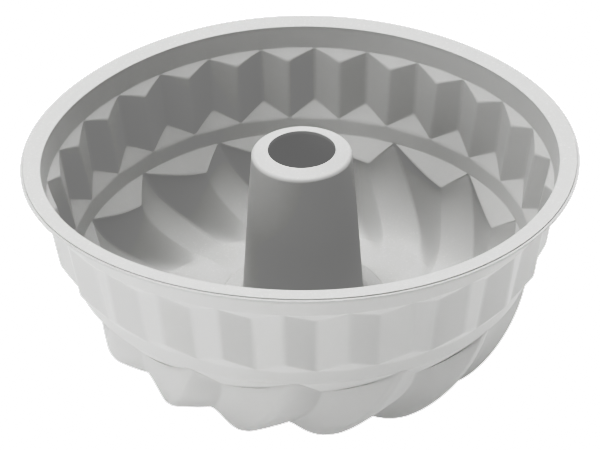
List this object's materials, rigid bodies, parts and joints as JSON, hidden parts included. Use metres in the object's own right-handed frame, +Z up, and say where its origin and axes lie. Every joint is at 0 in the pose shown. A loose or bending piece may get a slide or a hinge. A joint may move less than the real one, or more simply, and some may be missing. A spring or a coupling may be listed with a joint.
{
  "type": "fluted tube pan",
  "caption": "Round silicone tube pan with straight flutes above a plain band, swirled flutes below, a hollow centre tube with a holed top, and a stiffening ring on the rim.",
  "frame": {"origin": "middle of the plane that the pan's lobes stand on, on the centre tube's axis", "axes": "+Z up out of the cavity, along the centre tube; -Y is the side nearest the viewer in the picture and +X is to the viewer's right"},
  "size_m": [0.2398, 0.2398, 0.1],
  "materials": {
    "silicone": "satin light grey silicone with a fine moulded grain",
    "ring": "matte light grey, close to the silicone's colour"
  },
  "bodies": {
    "root": {"mould_body": "silicone", "rim_ring": "ring"}
  },
  "joints": []
}
